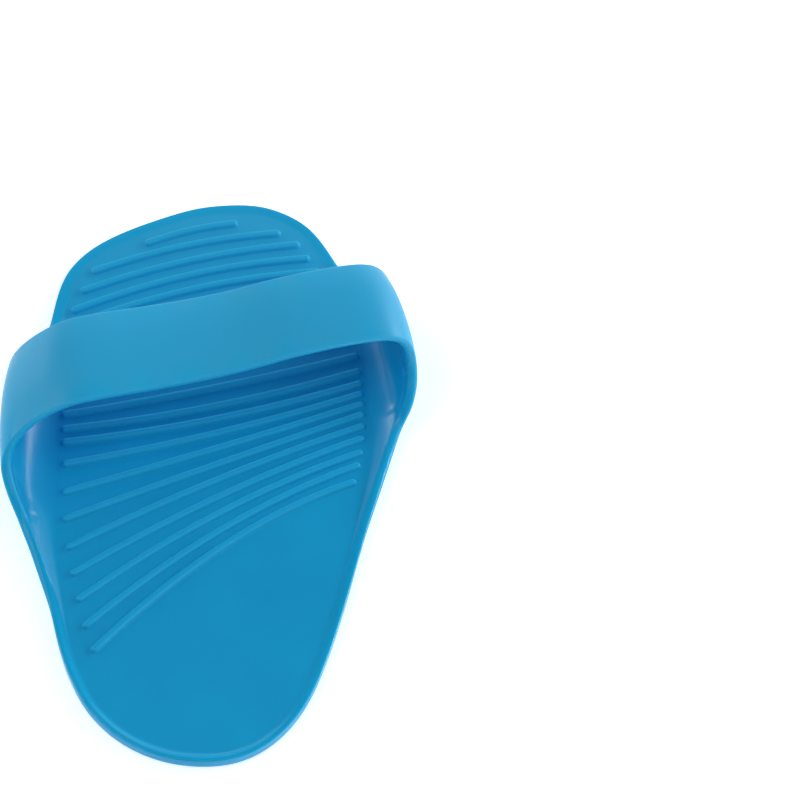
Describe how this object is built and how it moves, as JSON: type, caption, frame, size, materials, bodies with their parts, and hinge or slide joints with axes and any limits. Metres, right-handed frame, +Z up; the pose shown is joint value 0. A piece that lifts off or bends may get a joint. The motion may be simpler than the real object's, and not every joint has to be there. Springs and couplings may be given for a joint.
{
  "type": "lifting grip pad",
  "caption": "Soft moulded grip pad for the left palm: flat ribbed floor, rolled side walls and a slanted strap over the fingers.",
  "frame": {"origin": "on the surface it rests on, below the middle of the pad's length and width", "axes": "+Y towards the finger tips, +X to the thumb side of the left hand, +Z up through the strap"},
  "size_m": [0.1066, 0.1676, 0.0307],
  "materials": {
    "pad_rubber": "semi-gloss moulded"
  },
  "bodies": {
    "root": {"grip_pad": "pad_rubber"}
  },
  "joints": []
}
